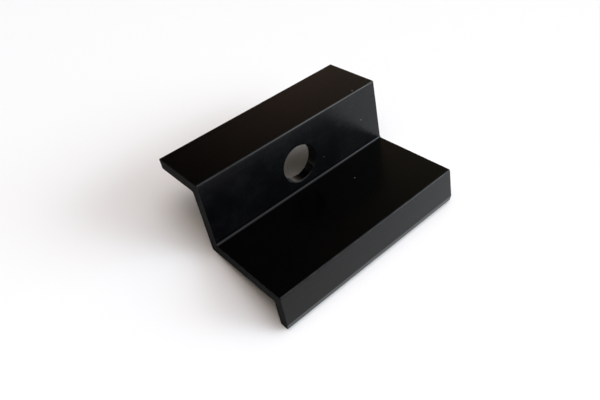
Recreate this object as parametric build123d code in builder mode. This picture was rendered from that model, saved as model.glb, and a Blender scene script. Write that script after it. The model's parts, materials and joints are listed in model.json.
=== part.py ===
"""Solar end clamp: a sawn length of black aluminium profile, drilled once. Millimetres.

The section is a Z of three right-angled walls, with a lip at its wide end:

    leg        stands on the mounting rail
    seat       the middle wall, drilled for the clamping bolt
    riser      stands against the side of the module's frame
    lip        hooks over the frame and presses it down

The clamp lies loose on a table, on the bend below the seat and on the lip's tip. Its length
runs along X. The origin is on the table, under the middle of the footprint.
"""

import os
from math import asin, atan2, cos, degrees, hypot, sin

from build123d import *

# The profile
module_height = 35.0  # height of the module frame, held between the rail and the lip
leg_length = 15.4  # foot to bolt face
seat_width = 16.2  # leg's outer face to riser's outer face
lip_length = 9.3  # riser's outer face to the lip's tip
wall = 2.7  # every wall
bend_radius = 0.4  # outer corner of each bend
root_radius = 0.5  # inner corner of each bend
foot_radius = 0.2  # both corners of the leg's foot
tip_radius = 0.25  # corners of the lip's tip
bevel_height = 1.6  # lead-in bevel on the outside of the lip's tip
bevel_depth = 0.5

# The cut length and its drilling
clamp_length = 50.0
hole_diameter = 9.0  # clearance for an M8 bolt
rim_chamfer = 0.2  # both rims of the hole
end_break = 0.1  # burr taken off both sawn ends

# From the bolt face to the lip's outer face: the leg and the riser together span the module
riser_length = module_height - leg_length + wall
# The hole is in the middle of what is flat on both sides of the seat, from riser to leg
hole_to_riser = (seat_width - wall) / 2


def resting_tilt():
    """Angle, in radians, that the riser makes with the table once both edges touch it.

    The bend below the seat and the inner corner of the lip's tip are two rounded edges. The
    table touches both arcs, so it leaves the line between their centres by the arcsine of
    the difference of their radii over the distance between the centres.
    """
    across = riser_length + tip_radius - bend_radius
    down = (lip_length - tip_radius) - (wall - bend_radius)
    return atan2(down, across) + asin((tip_radius - bend_radius) / hypot(down, across))


def section_corners():
    """Corners of the section, each with its radius, from the leg's foot all the way round.

    A corner is (distance along the riser towards the lip, distance along the seat towards
    the leg), counted from the inner corner where the bolt face meets the riser.
    """
    lip_outer = riser_length
    lip_inner = riser_length - wall
    return [
        ((-leg_length, seat_width), foot_radius),
        ((0, seat_width), bend_radius),
        ((0, 0), root_radius),
        ((lip_outer, 0), bend_radius),
        ((lip_outer, bevel_height - lip_length), tip_radius),
        ((lip_outer - bevel_depth, -lip_length), tip_radius),
        ((lip_inner, -lip_length), tip_radius),
        ((lip_inner, -wall), root_radius),
        ((-wall, -wall), bend_radius),
        ((-wall, seat_width - wall), root_radius),
        ((-leg_length, seat_width - wall), foot_radius),
    ]


# Directions in the resting clamp: along the riser towards the lip, and up the seat
tilt = resting_tilt()
along_riser = Vector(0, -cos(tilt), sin(tilt))
up_seat = Vector(0, sin(tilt), cos(tilt))

# The section as it rests, seen from the clamp's left end: X to the front, Y up
with BuildSketch(Plane.XY.rotated((0, 0, degrees(tilt)))) as section:
    with BuildLine():
        corners, radii = zip(*section_corners())
        FilletPolyline(*corners, radius=radii, close=True)
    make_face()

# The inner corner at the bolt face, once the section stands on the table and its footprint
# has its middle over the origin
footprint = section.sketch.bounding_box()
bolt_face_corner = Vector(0, footprint.center().X, -footprint.min.Y)

with BuildPart() as end_clamp:
    # The profile, drawn out from the middle to both ends
    with BuildSketch(Plane(origin=bolt_face_corner, x_dir=(0, -1, 0), z_dir=(-1, 0, 0))):
        add(section.sketch)
    extrude(amount=clamp_length / 2, both=True)

    # Sawn ends, with the burr taken off
    chamfer(end_clamp.faces().filter_by(Axis.X).edges(), length=end_break)

    # Bolt hole, square through the seat
    bolt_point = bolt_face_corner + up_seat * hole_to_riser
    with BuildSketch(Plane(origin=bolt_point, x_dir=(1, 0, 0), z_dir=along_riser)):
        Circle(hole_diameter / 2)
    extrude(amount=-wall, mode=Mode.SUBTRACT)
    rims = end_clamp.edges().filter_by(GeomType.CIRCLE).group_by(SortBy.RADIUS)[-1]
    chamfer(rims, length=rim_chamfer)

end_clamp.part.label = "end_clamp"
os.makedirs("parts", exist_ok=True)
export_step(end_clamp.part, "parts/end_clamp.step")

print("rests at", round(degrees(tilt), 2), "degrees, riser", round(riser_length, 2), "mm")
print("volume", round(end_clamp.part.volume, 1), "mm3, size", end_clamp.part.bounding_box().size)
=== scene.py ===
# %% [markdown]
# # A black anodised end clamp on a white table
#
# The clamp is one piece of aluminium: a Z-shaped profile that was pushed through a die, sawn to
# length, drilled and anodised black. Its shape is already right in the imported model, so this
# lesson is about light and finish. A black object on a white table is drawn almost wholly by
# reflections, so the room around it matters as much as the material on it.

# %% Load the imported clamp
import json
import math

import bpy
import numpy as np
from mathutils import Matrix, Vector

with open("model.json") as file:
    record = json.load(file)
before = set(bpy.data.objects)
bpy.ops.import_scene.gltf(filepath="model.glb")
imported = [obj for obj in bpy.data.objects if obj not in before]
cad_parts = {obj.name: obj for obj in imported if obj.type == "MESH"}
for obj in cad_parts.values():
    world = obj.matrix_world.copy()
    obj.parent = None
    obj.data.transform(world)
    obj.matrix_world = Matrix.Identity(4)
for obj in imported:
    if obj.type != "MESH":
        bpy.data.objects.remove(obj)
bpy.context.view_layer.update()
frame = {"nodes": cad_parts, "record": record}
clamp = frame["nodes"]["end_clamp"]
millimetre = 0.001

# %% [markdown]
# ## Directions in the clamp
#
# The clamp lies tilted, on the bend under its seat and on the tip of its lip. Rather than
# typing that angle again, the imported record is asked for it: the axis of the bolt hole runs
# along the riser, and a quarter turn about X gives the direction up the seat. With the wall
# and the hole's distance from the riser, that finds the inner corner at the bolt face, and
# every place on the section is then counted from there, in millimetres.

# %% Riser and seat directions, read from the bolt hole's mount
wall = 2.7
hole_to_riser = 6.75
seat_width = 16.2
riser_length = 22.3
lip_length = 9.3
leg_length = 15.4
bevel_height = 1.6
bevel_depth = 0.5
rim_radius = 4.7  # outer edge of the chamfer round the hole

mounts = {m["name"]: m for m in frame["record"]["mounts"]}
along_riser = Vector(mounts["bolt_hole"]["axis"])
up_seat = Vector((0, along_riser.z, -along_riser.y))
hole_centre = Vector(mounts["bolt_hole"]["pos_m"]) / millimetre
corner = hole_centre + along_riser * wall / 2 - up_seat * hole_to_riser


def on_section(x, along, up):
    """Point in millimetres: x along the profile, then along the riser and up the seat."""
    return corner + along_riser * along + up_seat * up + Vector((x, 0, 0))


print("bolt-face corner, mm:", [round(v, 2) for v in corner])

# %% [markdown]
# ## Camera
#
# The lens, place and turn come from the photograph: straight edges of the clamp were measured
# in it and a pinhole camera was solved from them. The picture was cropped from a larger one,
# which is what the two small shifts stand for. A camera's three axes are the columns of its
# rotation: right, up, and backwards, away from what it looks at.

# %% Camera at the photograph's viewpoint
camera_place = Vector((-61.521, -65.248, 115.214)) * millimetre
looks_right = Vector((0.73438, -0.67687, 0.0503))
looks_forward = Vector((0.49061, 0.47816, -0.72847))

camera_data = bpy.data.cameras.new("camera")
camera_data.lens = 37.224
camera_data.sensor_width = 36.0
camera_data.shift_x = -0.05224
camera_data.shift_y = -0.09365
camera_data.clip_start = 0.005
camera = bpy.data.objects.new("camera", camera_data)
bpy.context.scene.collection.objects.link(camera)

backward = -looks_forward.normalized()
upward = backward.cross(looks_right).normalized()
sideways = upward.cross(backward)
turn = Matrix((sideways, upward, backward)).transposed().to_4x4()
camera.matrix_world = Matrix.Translation(camera_place) @ turn
bpy.context.scene.camera = camera
print("camera is", round(camera_place.length / millimetre), "mm from the origin")

# %% [markdown]
# ## Helpers for node trees
#
# Materials and the room are node trees. The first helper adds one node and fills its sockets: a
# socket given another node's output gets a link, and one given a number or a colour gets that
# value. The others are short names for the arithmetic that is used most.

# %% Helpers for node trees
def add(tree, kind, values=(), **settings):
    """Node of the given kind; values maps socket names or numbers to outputs or constants."""
    made = tree.nodes.new("ShaderNode" + kind)
    for name, value in settings.items():
        setattr(made, name, value)
    for socket, value in dict(values).items():
        if isinstance(value, bpy.types.NodeSocket):
            tree.links.new(value, made.inputs[socket])
        else:
            made.inputs[socket].default_value = value
    return made


def number(tree, operation, a, b=0.0):
    """Output of one step of arithmetic on two numbers or sockets."""
    return add(tree, "Math", {0: a, 1: b}, operation=operation).outputs[0]


def vector(tree, operation, a, b=(0, 0, 0), output="Vector"):
    """Output of one step of arithmetic on two vectors or sockets."""
    return add(tree, "VectorMath", {0: a, 1: b}, operation=operation).outputs[output]


def scaled(tree, a, factor):
    """Vector a times a number or socket."""
    return add(tree, "VectorMath", {0: a, "Scale": factor}, operation="SCALE").outputs[0]


def steps(tree, value, low, high):
    """Smooth step of the value: 0 at low, 1 at high, level beyond them; low may be the larger."""
    sockets = {"Value": value, "From Min": low, "From Max": high}
    return add(tree, "MapRange", sockets, interpolation_type="SMOOTHSTEP").outputs[0]


# %% [markdown]
# ## Table
#
# The floor is one flat surface, worked out as a grid of two parameters, and far larger than
# the picture. It is white with a dull sheen, like coated card. A matt white would do for the
# shadow, but the sheen matters for the clamp: its front faces see the card at a slant, where
# the card mirrors the window and is brighter than plain paper. All of its light comes from the
# room, so it keeps the clamp's shadow.

# %% Floor
def grid_surface(name, place, across, along):
    """Mesh of the surface place(s, t), with s and t running from 0 to 1.

    place takes two whole arrays and gives an array of points, so no vertex is handled alone.
    Vertex (i, j) has number i * (along + 1) + j, and each face joins four neighbours.
    """
    s, t = np.meshgrid(np.linspace(0, 1, across + 1), np.linspace(0, 1, along + 1), indexing="ij")
    points = place(s.ravel(), t.ravel())
    i, j = np.meshgrid(np.arange(across), np.arange(along), indexing="ij")
    first = (i * (along + 1) + j).ravel()
    faces = np.stack([first, first + along + 1, first + along + 2, first + 1], axis=1)
    mesh = bpy.data.meshes.new(name)
    mesh.from_pydata(points.tolist(), [], faces.tolist())
    made = bpy.data.objects.new(name, mesh)
    bpy.context.scene.collection.objects.link(made)
    return made


def flat(s, t):
    """Points of a level square about the origin, reaching floor_reach metres each way."""
    return floor_reach * np.stack([2 * s - 1, 2 * t - 1, 0 * s], axis=1)


floor_reach = 3.0
floor = grid_surface("floor", flat, 8, 8)

card = bpy.data.materials.new("white_card")
card.use_nodes = True
shader = card.node_tree.nodes["Principled BSDF"]
shader.inputs["Base Color"].default_value = (0.9, 0.9, 0.9, 1)
shader.inputs["Roughness"].default_value = 0.4
shader.inputs["IOR"].default_value = 1.45
floor.data.materials.append(card)
print("floor faces:", len(floor.data.polygons))

# %% [markdown]
# ## Light
#
# The room is a set of soft glows around the clamp, each brightest in its own direction. The
# main one is a window to the front right, with a bright sill below it and a second window
# beside it. They draw the bright lines along the bends, and throw the soft shadow to the left.
# Ceiling glows fill that shadow, a little warmer from the left. Low behind the clamp the room
# is nearly dark. That is the part which the flat top faces mirror to the camera, and why they
# look so deep. A dim warm wall and corner at its right give them a brown sheen.
#
# Area lamps could light the clamp as well, but glossy faces would mirror their straight edges.
# A glow has none. Its strength in a direction d is exp(sharpness * (d . centre - 1)): 1 at its
# centre, falling off smoothly with the angle, and faster for a larger sharpness. The camera
# itself sees plain white past the table's edge, which lights nothing.

# %% Room of soft glows
glows = {
    # azimuth from +Y towards +X and elevation in degrees, sharpness, colour
    "ceiling": (0, 90, 14, (2.2, 2.0, 2.0)),
    "ceiling_right": (72, 72, 14, (1.15, 1.2, 1.4)),
    "ceiling_left": (288, 72, 14, (1.2, 1.0, 0.8)),
    "ceiling_front": (144, 72, 14, (0.6, 0.65, 0.6)),
    "window": (136, 28, 40, (7.9, 8.9, 9.5)),
    "window_sill": (140, 14, 40, (4.6, 4.9, 5.3)),
    "side_window": (120, 32, 40, (2.1, 2.5, 2.8)),
    "side_sill": (120, 22, 40, (2.7, 2.7, 2.7)),
    "front": (165, 32, 40, (2.7, 2.9, 3.2)),
    "right": (85, 42, 40, (1.5, 1.25, 0.95)),
    "warm_wall": (60, 8, 14, (0.8, 0.68, 0.48)),
    "warm_corner": (30, 8, 110, (0.4, 0.22, 0.18)),
}


def towards(azimuth, elevation):
    """Unit vector for two angles in degrees: from +Y towards +X, and up from level."""
    a, e = math.radians(azimuth), math.radians(elevation)
    return (math.sin(a) * math.cos(e), math.cos(a) * math.cos(e), math.sin(e))


room = bpy.data.worlds.new("room")
bpy.context.scene.world = room
room.use_nodes = True
tree = room.node_tree
tree.nodes.clear()
direction = vector(tree, "NORMALIZE", add(tree, "TexCoord").outputs["Generated"])
light = (0, 0, 0)
for azimuth, elevation, sharpness, colour in glows.values():
    near = vector(tree, "DOT_PRODUCT", direction, towards(azimuth, elevation), "Value")
    power = number(tree, "MULTIPLY", number(tree, "SUBTRACT", near, 1.0), sharpness)
    glow = scaled(tree, colour, number(tree, "EXPONENT", power))
    light = vector(tree, "ADD", light, glow)
lit = add(tree, "Background", {"Color": light})
white = add(tree, "Background", {"Color": (1, 1, 1, 1)})
seen = add(tree, "LightPath").outputs["Is Camera Ray"]
both = add(tree, "MixShader", {0: seen, 1: lit.outputs[0], 2: white.outputs[0]})
add(tree, "OutputWorld", {"Surface": both.outputs[0]})
print("glows:", ", ".join(glows))

# %% [markdown]
# ## Black anodising
# A few colours are painted light: a highlight along the leg's bend, a bluish reflection on the
# bolt face and a warm one on the sawn ends.
#
# Anodising grows a hard glassy skin out of the metal and dyes it black. Light is mirrored only
# by that skin, as by glass, and more at a slant, so the shader is a dark dielectric, not a
# metal. Everything finer comes from how the piece was made: drawing lines along the profile,
# saw marks on its two ends, tool rings in the hole, a haze on the bolt face, and edges a little
# polished by handling.
#
# All patterns are worked out in millimetres from Object coordinates, so each has the size it
# has on the real clamp. Masks say where each one belongs: a face that looks along X was sawn,
# one close to the hole's axis was drilled, and the bolt face is the side of the seat towards
# the lip. A mask is 1 where its pattern shows and 0 elsewhere, with a soft border.

# %% Places and masks on the clamp
anodised = bpy.data.materials.new("black_anodised")
anodised.use_nodes = True
tree = anodised.node_tree
shader = tree.nodes["Principled BSDF"]
coordinates = add(tree, "TexCoord")
place = scaled(tree, coordinates.outputs["Object"], 1 / millimetre)
x, y, z = add(tree, "SeparateXYZ", {0: place}).outputs


def product(a, b):
    """Output of a times b."""
    return number(tree, "MULTIPLY", a, b)


def without(mask):
    """Mask turned round: 1 where it was 0."""
    return number(tree, "SUBTRACT", 1.0, mask)


normal_x = add(tree, "SeparateXYZ", {0: coordinates.outputs["Normal"]}).outputs[0]
facing_x = number(tree, "ABSOLUTE", normal_x)  # 1 on a sawn face, 0.71 on its slanted edge
sawn = steps(tree, facing_x, 0.75, 0.95)

from_hole = vector(tree, "SUBTRACT", place, hole_centre)
off_axis = vector(tree, "CROSS_PRODUCT", from_hole, along_riser)
radius = vector(tree, "LENGTH", off_axis, output="Value")
drilled = steps(tree, radius, rim_radius + 0.05, rim_radius)
drawn = product(without(sawn), without(drilled))

from_corner = vector(tree, "SUBTRACT", place, corner)
along = vector(tree, "DOT_PRODUCT", from_corner, along_riser, "Value")
up = vector(tree, "DOT_PRODUCT", from_corner, up_seat, "Value")
on_face = steps(tree, along, -0.4, -0.2)
past_root = steps(tree, up, 0.4, 1.2)
bolt_face = product(on_face, past_root)
print("masks: sawn ends, drilled hole, drawn faces, bolt face")

# %% [markdown]
# ### Drawing lines, grain and handling
#
# The die leaves faint scratches all along the profile. They could be painted on each face in
# turn, but a noise that is stretched more than a hundred times along X has that look on all of
# them at once: fine across, and very long. A second, broader one gives slow bands. Unstretched
# noise does the rest: a fine one for the grain of the etched skin, and a broad, cloudy one for
# where the piece was touched.

# %% Lines, bands, grain and clouds
def noise(scale, detail=2.0, rough=0.5):
    """Noise of the place in mm, with its own scale along X, Y and Z."""
    stretched = add(tree, "Mapping", {"Vector": place, "Scale": scale}).outputs[0]
    sockets = {"Vector": stretched, "Scale": 1.0, "Detail": detail, "Roughness": rough}
    return add(tree, "TexNoise", sockets).outputs["Fac"]


lines = noise((0.03, 5.0, 5.0), 3.0)
bands = noise((0.012, 0.9, 0.9))
grain = noise((7.0, 7.0, 7.0), 1.0)
clouds = noise((0.14, 0.14, 0.14), 4.0, 0.6)
print("patterns: lines, bands, grain, clouds")

# %% [markdown]
# ### Saw marks and tool rings
#
# A round blade leaves arcs, parts of large circles about the blade's own axis. The distance to
# a point far outside the section has such circles as its level lines, and a sine of it makes
# the grooves. Noise added to the distance keeps the pitch uneven. A drill leaves rings, which
# are level lines of the depth along the hole's axis.

# %% Saw marks and tool rings
saw_axis = on_section(0, 60.0, 95.0)
saw_pitch = 0.55
pitch_error = 1.5
drill_pitch = 0.3


def grooves(distance, pitch):
    """Wave from -1 to 1 that repeats once per pitch: the sine of 2 pi distance / pitch."""
    return number(tree, "SINE", product(distance, 2 * math.pi / pitch))


section_place = add(tree, "CombineXYZ", {1: y, 2: z}).outputs[0]
to_saw_axis = vector(tree, "DISTANCE", section_place, saw_axis, "Value")
uneven = product(noise((0.5, 0.5, 0.5)), pitch_error)
saw_marks = grooves(number(tree, "ADD", to_saw_axis, uneven), saw_pitch)

depth = vector(tree, "DOT_PRODUCT", from_hole, along_riser, "Value")
tool_rings = grooves(depth, drill_pitch)
print("saw pitch", saw_pitch, "mm, drill pitch", drill_pitch, "mm")

# %% [markdown]
# ### Worn edges, and a painted highlight
#
# Outer edges touch other things first: their dye is rubbed a little paler and their skin
# smoother. For the long edges, the distance to each corner of the section gives the mask. On
# the two ends it is the narrow slanted faces where the burr was taken off. Noise breaks both
# up, since wear is never even. Along the leg's bend a narrow pale line is painted as well, a
# painted highlight of the window: full along its far half, fading out towards the near end.

# %% Edge wear, and a painted highlight along the leg's bend
long_edges = {
    # along the riser, up the seat, in mm
    "leg_bend": (0, seat_width),
    "lip_bend": (riser_length, 0),
    "lip_bevel_top": (riser_length, bevel_height - lip_length),
    "lip_bevel_low": (riser_length - bevel_depth, -lip_length),
    "lip_tip": (riser_length - wall, -lip_length),
    "seat_heel": (-wall, -wall),
    "foot_top": (-leg_length, seat_width),
    "foot_low": (-leg_length, seat_width - wall),
}
wear_starts = 0.45
wear_full = 0.15
# Painted highlight along the leg's bend: how near the bend it starts and is full, and along x how
# it grows
highlight_line_starts = 0.3
highlight_line_full = 0.18
highlight_line_grows = (-18.0, 8.0)  # from no line to a full one, along x

nearest = 2 * wear_starts
for edge_along, edge_up in long_edges.values():
    edge = on_section(0, edge_along, edge_up)
    gap = vector(tree, "DISTANCE", section_place, edge, "Value")
    nearest = number(tree, "MINIMUM", gap, nearest)
on_long_edge = steps(tree, nearest, wear_starts, wear_full)
on_end_edge = product(steps(tree, facing_x, 0.3, 0.6), without(sawn))
rubbing = steps(tree, noise((0.35, 1.5, 1.5), 5.0, 0.65), 0.42, 0.62)
worn = product(number(tree, "MAXIMUM", on_long_edge, on_end_edge), rubbing)

# Painted highlight: a narrow pale line along the leg's bend, growing towards the far end
leg_bend = on_section(0, *long_edges["leg_bend"])
from_leg_bend = vector(tree, "DISTANCE", section_place, leg_bend, "Value")
on_highlight_line = steps(tree, from_leg_bend, highlight_line_starts, highlight_line_full)
painted_highlight_line = product(on_highlight_line, steps(tree, x, *highlight_line_grows))
print("long edges:", ", ".join(long_edges))

# %% [markdown]
# ### Dust
#
# Four pale specks lie on the clamp in the photograph, each 0.2 to 0.4 mm wide.
# They are too small to need a shape of their own, so they are painted: a speck is a tiny ball
# around its own place, with a noisy outline, and shows as a spot on whatever face it touches.

# %% Dust specks
specks = [
    # x, along the riser, up the seat, all in mm, and the speck's radius
    (9.35, 6.9, 0.0, 0.13),
    (19.5, 0.0, 8.05, 0.18),
    (6.8, 0.0, 4.55, 0.095),
    (18.8, -0.9, 16.2, 0.16),
]
soft_rim = 0.03
raggedness = 0.12

ragged = product(number(tree, "SUBTRACT", noise((12.0, 12.0, 12.0)), 0.5), raggedness)
dusty = 0.0
for *centre, size in specks:
    away = vector(tree, "DISTANCE", place, on_section(*centre), "Value")
    ragged_away = number(tree, "ADD", away, ragged)
    spot = steps(tree, ragged_away, size + soft_rim, size - soft_rim)
    dusty = number(tree, "MAXIMUM", spot, dusty)
print("dust specks:", len(specks))

# %% [markdown]
# ### Colour
#
# The dye takes nearly all light. One flat black would look like a hole in the picture, so
# clouds and bands vary it slightly. The bolt face has a faint bluish haze in patches, which is a
# painted reflection of the table's cool light. Sawn ends are as black as the rest, with a brown
# tint that is a painted reflection of the warm shaded table. Worn edges are paler, a painted
# highlight makes a paler line again on the leg's bend, and dust is pale. The colours are laid
# over one another in that order, each through its own mask.

# %% Colour
def mix_colour(factor, first, second):
    """Colour between two others: first where the factor is 0, second where it is 1."""
    # The node keeps its factor in socket 0 and its two colours in sockets 6 and 7
    return add(tree, "Mix", {0: factor, 6: first, 7: second}, data_type="RGBA").outputs[2]


deep_black = (0.0001, 0.0001, 0.0001, 1)
plain_black = (0.0008, 0.0008, 0.0008, 1)
# bolt face: bluish patches, a painted reflection of the table's cool light
painted_sheen_dim = (0.0004, 0.0005, 0.0007, 1)
painted_sheen_bright = (0.0026, 0.0027, 0.0031, 1)
# sawn ends: black, with a brown tint that is a painted reflection of the warm shaded table
sawn_painted_warm_reflection = (0.0006, 0.0005, 0.0004, 1)
rubbed_grey = (0.012, 0.0115, 0.011, 1)
# painted highlight along the leg's bend
painted_highlight_grey = (0.042, 0.040, 0.038, 1)
dust_grey = (0.15, 0.145, 0.135, 1)

# painted bluish reflection on the bolt face, brighter in cloudy patches
painted_bluish_sheen = mix_colour(steps(tree, clouds, 0.35, 0.7), painted_sheen_dim, painted_sheen_bright)
dye = mix_colour(product(clouds, bands), deep_black, plain_black)
dye = mix_colour(bolt_face, dye, painted_bluish_sheen)
# sawn ends get the painted warm reflection
dye = mix_colour(sawn, dye, sawn_painted_warm_reflection)
dye = mix_colour(worn, dye, rubbed_grey)
# painted highlight laid over the leg's bend
dye = mix_colour(painted_highlight_line, dye, painted_highlight_grey)
dye = mix_colour(dusty, dye, dust_grey)
tree.links.new(dye, shader.inputs["Base Color"])
print("colours: dye, haze, sawn, worn, line, dust")

# %% [markdown]
# ### Gloss
#
# The skin mirrors softly. Touched patches and drawing lines make it a little rougher, the bolt
# face more so, sawing much more, and rubbing smoother. Its index of refraction is low for
# aluminium oxide, because the dyed skin is full of pores.

# %% Gloss
def layered(value, layers):
    """Value plus the sum, over all layers, of mask times amount."""
    for mask, amount in layers:
        value = number(tree, "ADD", value, product(mask, amount))
    return value


smoothest = 0.15
roughness = layered(smoothest, (
    # mask, roughness that it adds
    (clouds, 0.07),
    (lines, 0.03),
    (grain, 0.02),
    (bolt_face, 0.06),
    (sawn, 0.7),
    (worn, -0.06),
    (dusty, 0.5),
))
tree.links.new(roughness, shader.inputs["Roughness"])
shader.inputs["IOR"].default_value = 1.28
print("index of refraction:", round(shader.inputs["IOR"].default_value, 2))

# %% [markdown]
# ### Relief
#
# One height map in millimetres feeds a single bump: lines and bands on drawn faces, grain
# everywhere, saw marks on the ends, rings in the hole, and dust standing proud. Each pattern
# has its own real height: a thousandth or two for grain and rings, a few thousandths for
# scratches, about a hundredth for bands and saw marks, and a twentieth for dust. Relief so low
# never shows in the outline, so bump is enough and the mesh stays as it is.

# %% Relief
relief = layered(0.0, (
    # mask times pattern, height in mm
    (product(drawn, lines), 0.006),
    (product(drawn, bands), 0.010),
    (grain, 0.0012),
    (product(sawn, saw_marks), 0.012),
    (product(drilled, tool_rings), 0.0015),
    (dusty, 0.05),
))
bump = add(tree, "Bump", {"Height": relief, "Strength": 1.0, "Distance": millimetre})
tree.links.new(bump.outputs[0], shader.inputs["Normal"])
clamp.material_slots[0].material = anodised
print("finish:", clamp.material_slots[0].material.name, "with", len(tree.nodes), "nodes")

# %% [markdown]
# ## View settings
#
# Plain Standard view shows the colours as they were worked out.

# %% Finish
bpy.context.scene.view_settings.view_transform = "Standard"
